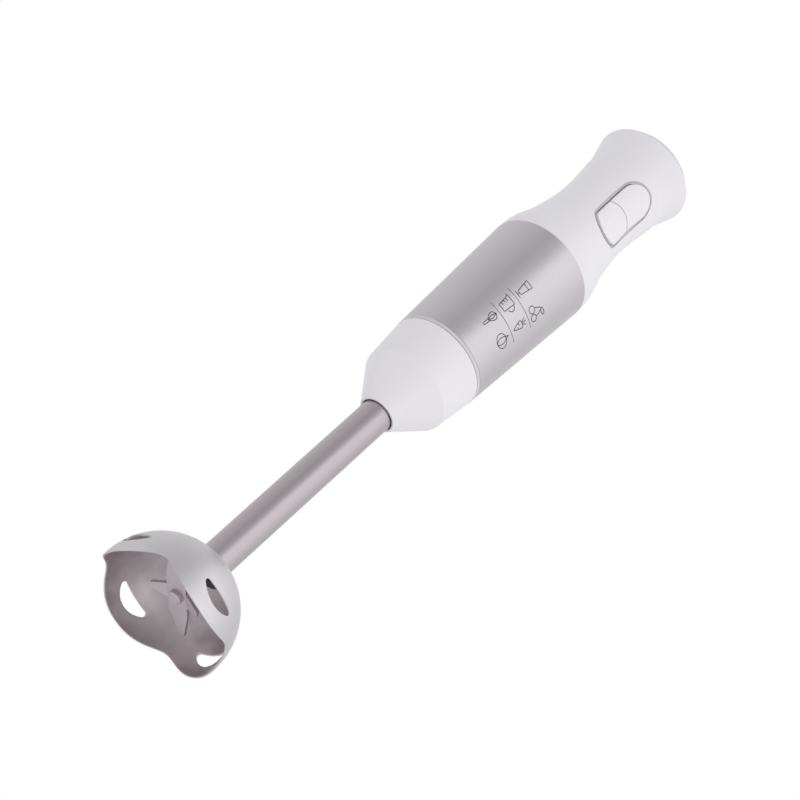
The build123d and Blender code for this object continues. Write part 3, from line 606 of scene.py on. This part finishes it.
@dataclass
class Leg(SubAssembly):
    """Tube and plastic cone of the leg, with what the cone holds."""

    edge_mm: float = 0.3

    def build(self) -> None:
        """Dresses the tube, the cone and the bearing carrier's pieces."""
        self.dress("shaft_tube", TUBE_STEEL)
        self.soften(self.dress("coupling_cone", WHITE_ABS), self.edge_mm)
        self.soften(self.dress("bearing_carrier", GREY_POLYAMIDE), self.edge_mm)
        self.dress("upper_bush", SINTERED_BRONZE)
        self.soften(self.dress("carrier_screws", ZINC_PLATE), self.edge_mm / 2)


@dataclass
class PrintedSleeve(SubAssembly):
    """Brushed steel sleeve with the signs that are printed on it."""

    body: Body = Body.MOTOR_UNIT
    wall_mm: float = 0.5
    roll_mm: float = 0.24
    ink_mm: float = 0.02
    line_mm: float = 0.42
    sign_scale: float = 1.15
    left_column_mm: float = -7.6
    right_column_mm: float = 4.4
    first_row: float = 0.56
    row_step: float = 0.158
    divider_reach_mm: float = 11.2
    divider_steps: int = 24
    divider_thinness: float = 0.7
    turn_steps: int = 256
    foot: float = field(init=False)
    head: float = field(init=False)
    foot_radius: float = field(init=False)
    head_radius: float = field(init=False)

    def __post_init__(self) -> None:
        """Reads the sleeve's place and its two radii from the frame, in millimetres."""
        low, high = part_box("steel_sleeve")
        self.foot, self.head = low[2] / MM, high[2] / MM
        self.head_radius = high[0] / MM
        self.foot_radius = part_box("bayonet_socket")[1][0] / MM

    def radius(self, height: float) -> float:
        """Returns the sleeve's outer radius at a height, both in millimetres."""
        share = (height - self.foot) / (self.head - self.foot)
        return self.foot_radius + (self.head_radius - self.foot_radius) * share

    def build(self) -> None:
        """Turns the sleeve and prints the signs on it."""
        self.turn_sleeve()
        self.print_signs()

    def turn_sleeve(self) -> None:
        """Turns the sleeve with its rolled edges."""
        foot, head = self.foot, self.head
        outline = rounded_outline((
            (self.foot_radius, foot, self.roll_mm), (self.head_radius, head, self.roll_mm),
            (self.head_radius - self.wall_mm, head, 0), (self.foot_radius - self.wall_mm, foot, 0)))
        sleeve = new_object("brushed_sleeve", lathe(outline, self.turn_steps), SLEEVE_STEEL, self.body)
        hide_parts("steel_sleeve")
        LOG.info("brushed_sleeve: turned, %.1f mm high", head - foot)

    def wrap(self, across: float, height: float, proud: float) -> Vector:
        """Lays a point of the flat print on the sleeve.

        Args:
            across: Distance round the sleeve from its front, in millimetres.
            height: Height above the origin, in millimetres.
            proud: How far it stands out from the steel, in millimetres.

        Returns:
            The point, in metres.
        """
        radius = self.radius(height)
        angle = across / radius - pi / 2
        return Vector(((radius + proud) * cos(angle), (radius + proud) * sin(angle), height)) * MM

    def ink_line(self, form: bmesh.types.BMesh, stroke: Stroke, width: float, closed: bool) -> None:
        """Adds one printed line, as a thin film of ink.

        Args:
            form: The mesh of the print.
            stroke: The line's points, as distance round the sleeve and height.
            width: The line's width in millimetres.
            closed: Whether the line's end meets its start.
        """
        stroke = divided(stroke, closed)
        count = len(stroke)
        layers = []
        for i, point in enumerate(stroke):
            before = stroke[i - 1] if closed or i else point
            after = stroke[(i + 1) % count] if closed or i < count - 1 else point
            run = Vector((after[0] - before[0], after[1] - before[1])).normalized()
            side = Vector((-run.y, run.x)) * width / 2
            left = (point[0] + side.x, point[1] + side.y)
            right = (point[0] - side.x, point[1] - side.y)
            layers.append([form.verts.new(self.wrap(*place, proud)) for place, proud in
                           ((left, self.ink_mm), (right, self.ink_mm), (right, -self.ink_mm),
                            (left, -self.ink_mm))])
        pairs = list(zip(layers, layers[1:]))
        if closed:
            pairs.append((layers[-1], layers[0]))
        else:
            form.faces.new(layers[0])
            form.faces.new(layers[-1])
        for near, far in pairs:
            for k in range(4):
                form.faces.new((near[k], near[(k + 1) % 4], far[(k + 1) % 4], far[k]))

    def print_signs(self) -> None:
        """Prints six small food signs in two columns, with a thin line between the rows."""
        form = bmesh.new()
        signs = ((tall_glass, cherries), (measuring_jug, carrot), (whisk, onion))
        rows = [self.foot + (self.head - self.foot) * (self.first_row - self.row_step * i)
                for i in range(len(signs))]
        for height, pair in zip(rows, signs):
            for column, sign in zip((self.left_column_mm, self.right_column_mm), pair):
                for stroke, closed in sign():
                    placed = [(column + x * self.sign_scale, height + z * self.sign_scale)
                              for x, z in stroke]
                    self.ink_line(form, placed, self.line_mm, closed)
        centre = (self.left_column_mm + self.right_column_mm) / 2
        reach, steps = self.divider_reach_mm, self.divider_steps
        for upper, lower in zip(rows, rows[1:]):
            middle = (upper + lower) / 2
            line = [(centre - reach + 2 * reach * i / steps, middle) for i in range(steps + 1)]
            self.ink_line(form, line, self.line_mm * self.divider_thinness, False)
        new_object("sleeve_signs", form, INK, self.body)
        LOG.info("sleeve_signs: six signs and two lines")


# ---- strokes and signs on the sleeve; a sign is a few strokes in millimetres about its centre ----
def divided(stroke: Stroke, closed: bool, step_mm: float = 0.7) -> Stroke:
    """Divides a stroke's long runs, so that it can lie on a round surface.

    Args:
        stroke: The stroke's points.
        closed: Whether its end meets its start.
        step_mm: The longest run that stays.

    Returns:
        The stroke with more points.
    """
    points = []
    ends = stroke[1:] + (stroke[:1] if closed else [])
    for (x0, z0), (x1, z1) in zip(stroke, ends):
        steps = max(1, round(hypot(x1 - x0, z1 - z0) / step_mm))
        points += [(x0 + (x1 - x0) * i / steps, z0 + (z1 - z0) * i / steps) for i in range(steps)]
    if not closed:
        points.append(stroke[-1])
    return points


def oval(x: float, z: float, half_width: float, half_height: float, start: float = 0.0,
         sweep: float = 360.0, step_degrees: float = 15.0, fewest_steps: int = 6) -> Stroke:
    """Returns points on an oval, or on part of it.

    Args:
        x: Its centre, sideways.
        z: Its centre, upwards.
        half_width: Half its width.
        half_height: Half its height.
        start: Where it starts, in degrees.
        sweep: How far it goes, in degrees.
        step_degrees: About how long each of its runs is.
        fewest_steps: The fewest runs it has.

    Returns:
        The stroke; a whole oval leaves out its last point.
    """
    steps = max(fewest_steps, round(abs(sweep) / step_degrees))
    last = steps if abs(sweep) >= 360 else steps + 1
    return [(x + half_width * cos(radians(start + sweep * i / steps)),
             z + half_height * sin(radians(start + sweep * i / steps))) for i in range(last)]


def tall_glass() -> Sign:
    """Draws a tall drinking glass with a level line and a foot.

    Returns:
        The sign's strokes, each with whether it is closed.
    """
    return [([(-1.9, 3.9), (1.9, 3.9), (1.0, -2.6), (-1.0, -2.6)], True),
            ([(-1.6, 1.9), (1.6, 1.9)], False), ([(-1.7, -3.8), (1.7, -3.8)], False),
            ([(0.0, -2.7), (0.0, -3.7)], False)]


def cherries() -> Sign:
    """Draws two cherries on their stalks, with a leaf.

    Returns:
        The sign's strokes, each with whether it is closed.
    """
    return [(oval(-1.6, -1.9, 1.6, 1.6), True), (oval(1.9, -2.4, 1.5, 1.5), True),
            ([(-1.5, -0.4), (-0.9, 1.4), (0.3, 3.2)], False), ([(1.9, -1.0), (1.5, 1.3), (0.3, 3.2)], False),
            (oval(1.9, 3.2, 1.5, 0.8), True)]


def measuring_jug() -> Sign:
    """Draws a jug with a spout, a handle and level marks.

    Returns:
        The sign's strokes, each with whether it is closed.
    """
    return [([(-3.2, 3.0), (2.1, 3.0), (1.7, -3.2), (-1.9, -3.2), (-2.3, 2.0)], True),
            (oval(1.9, 0.4, 2.0, 1.9, 75, -150), False), ([(-2.1, 1.2), (-0.6, 1.2)], False),
            ([(-2.0, -0.2), (-0.9, -0.2)], False), ([(-1.9, -1.6), (-0.6, -1.6)], False)]


def carrot() -> Sign:
    """Draws a carrot with its leaves.

    Returns:
        The sign's strokes, each with whether it is closed.
    """
    root = [(-1.7, 1.0), (-0.9, 1.6), (0.9, 1.6), (1.7, 1.0), (0.9, -1.8), (0.0, -4.0), (-0.9, -1.8)]
    return [(root, True),
            ([(-1.3, -0.2), (0.0, -0.2)], False), ([(1.1, -1.3), (0.1, -1.3)], False),
            ([(0.0, 1.8), (0.0, 4.0)], False), ([(-0.5, 1.8), (-1.5, 3.6)], False),
            ([(0.5, 1.8), (1.5, 3.6)], False)]


def whisk() -> Sign:
    """Draws a balloon whisk.

    Returns:
        The sign's strokes, each with whether it is closed.
    """
    balloon = [(-0.5, -0.9), (-1.7, 1.2), (-1.7, 2.8), (0.0, 4.0), (1.7, 2.8), (1.7, 1.2), (0.5, -0.9)]
    return [([(-0.45, -4.0), (0.45, -4.0), (0.55, -1.0), (-0.55, -1.0)], True), (balloon, False),
            ([(-0.1, -0.9), (-0.7, 1.4), (0.0, 3.9)], False), ([(0.1, -0.9), (0.7, 1.4), (0.0, 3.9)], False)]


def onion() -> Sign:
    """Draws an onion with the lines of its skin.

    Returns:
        The sign's strokes, each with whether it is closed.
    """
    return [(oval(0.0, -0.6, 3.1, 2.7), True), (oval(0.0, -0.6, 1.3, 2.6, 100, 160), False),
            (oval(0.0, -0.6, 1.3, 2.6, 80, -160), False), ([(-0.5, 2.2), (0.0, 3.8), (0.5, 2.2)], False),
            ([(-0.7, -3.5), (0.0, -3.2), (0.7, -3.5)], False)]


# ---- motor unit ----
@dataclass
class MotorHousing(SubAssembly):
    """White grip shell, with its light grey socket ring, its cap in light grey as painted shade, the cord's
    grommet and the seal ring.
    """

    body: Body = Body.MOTOR_UNIT
    edge_mm: float = 0.25

    def build(self) -> None:
        """Dresses the housing and the seal below it."""
        self.soften(self.dress("handle_shell", WHITE_ABS), self.edge_mm / 2)
        # The cap's grey is painted shade on a white cap; the socket ring's grey is its own tone.
        for node in ("bayonet_socket", "top_cap"):
            self.soften(self.dress(node, GREY_RING_AND_CAP_SHADE_ABS), self.edge_mm)
        self.soften(self.dress("cord_grommet", RUBBER), self.edge_mm)
        self.dress("seal_ring", RUBBER)


@dataclass
class ButtonPanel(SubAssembly):
    """Speed and turbo buttons, with painted shade in the band around them, and the switches and the board
    behind them.

    The panel's sides are straight, its head is a half circle and its foot a shallow arc with
    rounded corners. A lowered band runs around it.
    """

    body: Body = Body.MOTOR_UNIT
    edge_mm: float = 0.22
    lip_mm: float = 1.2
    bulge_mm: float = 4.2
    corner_mm: float = 3.6
    band_mm: float = 1.3
    # Where the painted band shade starts in from the band's edges, and how thick it is.
    shade_margin_mm: float = 0.14
    shade_film_mm: float = 0.10
    head_steps: int = 24
    corner_steps: int = 8
    foot_steps: int = 12

    def outline(self, outwards: float) -> list[Point]:
        """Returns the panel's outline, moved outwards.

        Args:
            outwards: How far it is moved, in millimetres.

        Returns:
            Points as x and height, in millimetres, once round.
        """
        low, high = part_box("speed_button")[0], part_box("turbo_button")[1]
        half = high[0] / MM - self.lip_mm
        foot = low[2] / MM + self.lip_mm
        head = high[2] / MM - self.lip_mm
        foot_radius = (half ** 2 + self.bulge_mm ** 2) / (2 * self.bulge_mm)
        side, reach, corner = half + outwards, foot_radius + outwards, self.corner_mm + outwards
        inner = side - corner
        arc_centre = foot + foot_radius
        corner_level = arc_centre - sqrt((reach - corner) ** 2 - inner ** 2)
        lean = atan2(inner, arc_centre - corner_level)
        head_turns = [pi * i / self.head_steps for i in range(self.head_steps + 1)]
        corner_turns = [(pi / 2 - lean) * i / self.corner_steps for i in range(self.corner_steps + 1)]
        points = [(side * cos(turn), head - half + side * sin(turn)) for turn in head_turns]
        for turn in corner_turns:
            points.append((-inner + corner * cos(pi + turn), corner_level + corner * sin(pi + turn)))
        for i in range(1, self.foot_steps):
            turn = lean - 2 * lean * i / self.foot_steps
            points.append((-reach * sin(turn), arc_centre - reach * cos(turn)))
        for turn in corner_turns:
            start = 3 * pi / 2 + lean
            points.append((inner + corner * cos(start + turn), corner_level + corner * sin(start + turn)))
        return points

    def lay_band_shade(self) -> None:
        """Lays a thin grey film in the lowered band around the buttons, as painted shade."""
        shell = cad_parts["handle_shell"]
        form = bmesh.new()
        layers = []
        for outwards in (self.shade_margin_mm, self.band_mm - self.shade_margin_mm):
            for depth in (-self.shade_film_mm, self.shade_film_mm):
                ring = []
                for x, height in self.outline(outwards):
                    _, place, _, _ = shell.ray_cast((x * MM, IN_FRONT, height * MM), (0, 1, 0))
                    ring.append(form.verts.new((place.x, place.y + depth * MM, place.z)))
                layers.append(ring)
        near_top, near_foot, far_top, far_foot = layers
        count = len(near_top)
        for a, b in ((near_top, far_top), (far_top, far_foot), (far_foot, near_foot), (near_foot, near_top)):
            for i in range(count):
                j = (i + 1) % count
                form.faces.new((a[i], a[j], b[j], b[i]))
        # The grey film is painted shade in the lowered band.
        new_object("button_band_shade", form, BAND_SHADE_GREY, self.body)
        LOG.info("button_band_shade: laid in the band")

    def build(self) -> None:
        """Lays the painted shade in the band, and dresses the buttons and the electrical pieces."""
        self.lay_band_shade()
        for node in ("speed_button", "turbo_button"):
            self.soften(self.dress(node, BUTTON_ABS), self.edge_mm, segments=3)
        for node in ("speed_switch", "turbo_switch", "bridge_rectifier"):
            self.soften(self.dress(node, BLACK_POLYAMIDE), self.edge_mm / 2)
        self.soften(self.dress("filter_capacitor", GREY_POLYAMIDE), self.edge_mm)
        self.dress("circuit_board", LAMINATE)
        self.dress("board_screws", ZINC_PLATE)
        self.dress("motor_choke", WOUND_COPPER)


@dataclass
class Motor(SubAssembly):
    """Motor with its can, magnets, armature, brushes, fan and drive cup."""

    body: Body = Body.MOTOR_UNIT
    edge_mm: float = 0.2

    def build(self) -> None:
        """Dresses the motor's pieces."""
        finishes = {
            "motor_can": ZINC_PLATE, "motor_screws": ZINC_PLATE, "front_bearing": GROUND_STEEL,
            "rear_bearing": GROUND_STEEL, "motor_shaft": GROUND_STEEL, "motor_magnets": FERRITE,
            "rotor_core": LAMINATIONS, "armature_windings": WOUND_COPPER, "commutator": WOUND_COPPER,
            "brushes": CARBON, "motor_damper": RUBBER}
        for node, finish in finishes.items():
            self.dress(node, finish)
        for node, finish in (("brush_plate", GREY_POLYAMIDE), ("cooling_fan", GREY_POLYAMIDE),
                             ("drive_cup", BLACK_POLYAMIDE)):
            self.soften(self.dress(node, finish), self.edge_mm)


# ---- studio ----
@dataclass(frozen=True)
class Softbox:
    """A square soft light that faces the object."""

    name: str
    direction: tuple[float, float, float]
    distance: float
    side: float
    watts: float
    colour: str = "#ffffff"


@dataclass
class Studio:
    """Camera, lights, pale floor and the even light around the object.

    Each azimuth level is a direction round the object, in degrees, and how bright it is there.
    """

    lens_mm: float = 103.84
    sensor_mm: float = 36.0
    far_limit: float = 100.0
    aim: tuple[float, float, float] = (0.0022, 0.0, 0.1636)
    distance: float = 1.0415
    heading: float = 22.0
    climb: float = 35.02
    roll: float = 47.79
    floor_level: float = -1.0
    floor_side: float = 14.0
    surround: float = 0.87
    below: float = 0.95
    above: float = 1.4
    azimuth_levels: tuple[tuple[float, float], ...] = (
        (-180, 0.62), (-145, 0.50), (-122, 0.60), (-95, 1.10), (-60, 1.05), (-30, 0.90), (8, 0.72),
        (68, 0.76), (128, 0.72))
    softboxes: tuple[Softbox, ...] = (
        Softbox("key", (0.236, -0.906, -0.321), 1.3, 0.8, 1.8),
        Softbox("fill", (-0.9, 0.3, -0.2), 1.6, 1.2, 2.0))

    def build(self) -> None:
        """Sets up the camera, the lights and the floor."""
        self.place_camera()
        self.light_world()
        centre = Vector([(low + high) / 2 for low, high in zip(*CAD_BOX)])
        for box in self.softboxes:
            self.add_softbox(box, centre)
        self.lay_floor()
        bpy.context.scene.view_settings.view_transform = "Standard"

    def place_camera(self) -> None:
        """Places the camera, which looks up at the object from below its front."""
        heading, climb, roll = radians(self.heading), radians(self.climb), radians(self.roll)
        forward = Vector((sin(heading) * cos(climb), cos(heading) * cos(climb), sin(climb)))
        level_right = forward.cross(Vector((0, 0, 1))).normalized()
        level_up = level_right.cross(forward)
        right = level_right * cos(roll) + level_up * sin(roll)
        up = right.cross(forward)
        data = bpy.data.cameras.new("camera")
        data.lens = self.lens_mm
        data.sensor_width = self.sensor_mm
        data.clip_end = self.far_limit
        camera = bpy.data.objects.new("camera", data)
        turn = Matrix((right, up, -forward)).transposed().to_4x4()
        camera.matrix_world = Matrix.Translation(Vector(self.aim) - forward * self.distance) @ turn
        bpy.context.collection.objects.link(camera)
        bpy.context.scene.camera = camera

    def light_world(self) -> None:
        """Surrounds the object with white for the camera and soft studio levels for everything else."""
        world = bpy.data.worlds.new("studio")
        bpy.context.scene.world = world
        world.use_nodes = True
        tree = world.node_tree
        tree.nodes.clear()
        direction = add_node(tree, "ShaderNodeTexCoord").outputs["Generated"]
        parts = add_node(tree, "ShaderNodeSeparateXYZ", {0: direction})
        azimuth = add_node(tree, "ShaderNodeMath", {0: parts.outputs["Y"], 1: parts.outputs["X"]},
                           operation="ARCTAN2")
        turn = add_node(tree, "ShaderNodeMath", {0: azimuth.outputs[0], 1: 1 / tau, 2: 0.5},
                        operation="MULTIPLY_ADD")
        ramp = add_node(tree, "ShaderNodeValToRGB", {0: turn.outputs[0]})
        ramp.color_ramp.interpolation = "EASE"
        stops = ramp.color_ramp.elements
        levels = (*self.azimuth_levels, (180, self.azimuth_levels[0][1]))
        for i, (angle, level) in enumerate(levels):
            if i == 0:
                stop = stops[0]
            elif i == len(levels) - 1:
                stop = stops[len(stops) - 1]
            else:
                stop = stops.new((angle + 180) / 360)
            stop.color = (level, level, level, 1)
        height = add_node(tree, "ShaderNodeMapRange", {
            "Value": parts.outputs["Z"], "From Min": -1.0, "From Max": 1.0, "To Min": self.below,
            "To Max": self.above})
        strength = add_node(tree, "ShaderNodeMath", {0: height.outputs["Result"], 1: self.surround},
                            operation="MULTIPLY")
        around = add_node(tree, "ShaderNodeBackground", {
            "Color": ramp.outputs["Color"], "Strength": strength.outputs[0]})
        white = add_node(tree, "ShaderNodeBackground", {"Color": (1, 1, 1, 1), "Strength": 1.0})
        seen = add_node(tree, "ShaderNodeLightPath").outputs["Is Camera Ray"]
        mix = add_node(tree, "ShaderNodeMixShader", {0: seen, 1: around.outputs[0], 2: white.outputs[0]})
        add_node(tree, "ShaderNodeOutputWorld", {"Surface": mix.outputs[0]})

    def add_softbox(self, box: Softbox, centre: Vector) -> None:
        """Hangs one softbox so that it faces the object.

        Args:
            box: The softbox.
            centre: What it faces.
        """
        data = bpy.data.lights.new(box.name, "AREA")
        data.shape = "SQUARE"
        data.size = box.side
        data.energy = box.watts
        data.color = linear(box.colour)[:3]
        lamp = bpy.data.objects.new(box.name, data)
        away = Vector(box.direction).normalized()
        lamp.location = centre + away * box.distance
        lamp.rotation_euler = away.to_track_quat("Z", "Y").to_euler()
        bpy.context.collection.objects.link(lamp)

    def lay_floor(self) -> None:
        """Lays the pale floor, well below the camera."""
        form = bmesh.new()
        half = self.floor_side / 2
        corners = [form.verts.new((x, y, self.floor_level))
                   for x, y in ((-half, -half), (half, -half), (half, half), (-half, half))]
        form.faces.new(corners)
        mesh = bpy.data.meshes.new("floor")
        form.to_mesh(mesh)
        form.free()
        mesh.materials.append(FLOOR_PAINT.material())
        floor = bpy.data.objects.new("floor", mesh)
        bpy.context.collection.objects.link(floor)


def main() -> None:
    """Builds each sub-assembly in order, then the studio."""
    logging.basicConfig(level=logging.INFO, format="%(name)s: %(message)s")
    for assembly in (BladeGuard(), BladeSet(), Leg(), PrintedSleeve(), MotorHousing(), ButtonPanel(),
                     Motor()):
        LOG.info("%s on %s", type(assembly).__name__, assembly.body.value)
        assembly.build()
    Studio().build()


if __name__ == "__main__":
    main()
